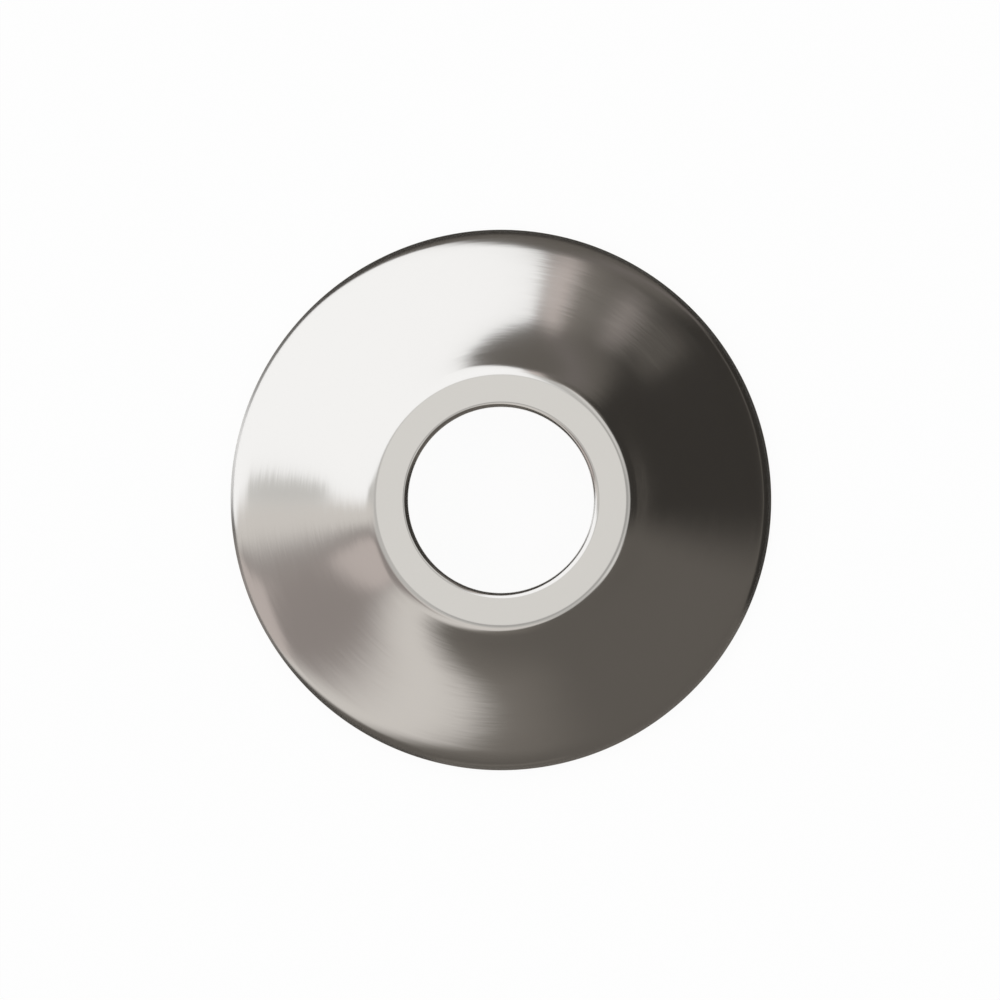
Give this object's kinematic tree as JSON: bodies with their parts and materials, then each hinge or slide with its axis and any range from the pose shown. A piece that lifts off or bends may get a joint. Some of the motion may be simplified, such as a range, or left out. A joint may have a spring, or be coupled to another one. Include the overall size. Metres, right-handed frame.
{
  "type": "pipe rosette",
  "caption": "Round conical cover plate in thin satin metal, with a flat ring and a collared hole, slid along a pipe to hide the gap where the pipe meets a wall.",
  "frame": {"origin": "centre of the circle of the rim's lower edge, in the plane that bears on the wall", "axes": "+Z along the pipe's axis, from the wall towards the room; the part is round about Z, so +X and +Y are any two directions along the wall"},
  "size_m": [0.065, 0.065, 0.01],
  "materials": {
    "satin_nickel": "satin, with fine brushed lines that run round the axis"
  },
  "bodies": {
    "root": {"rosette_shell": "satin_nickel"}
  },
  "joints": []
}
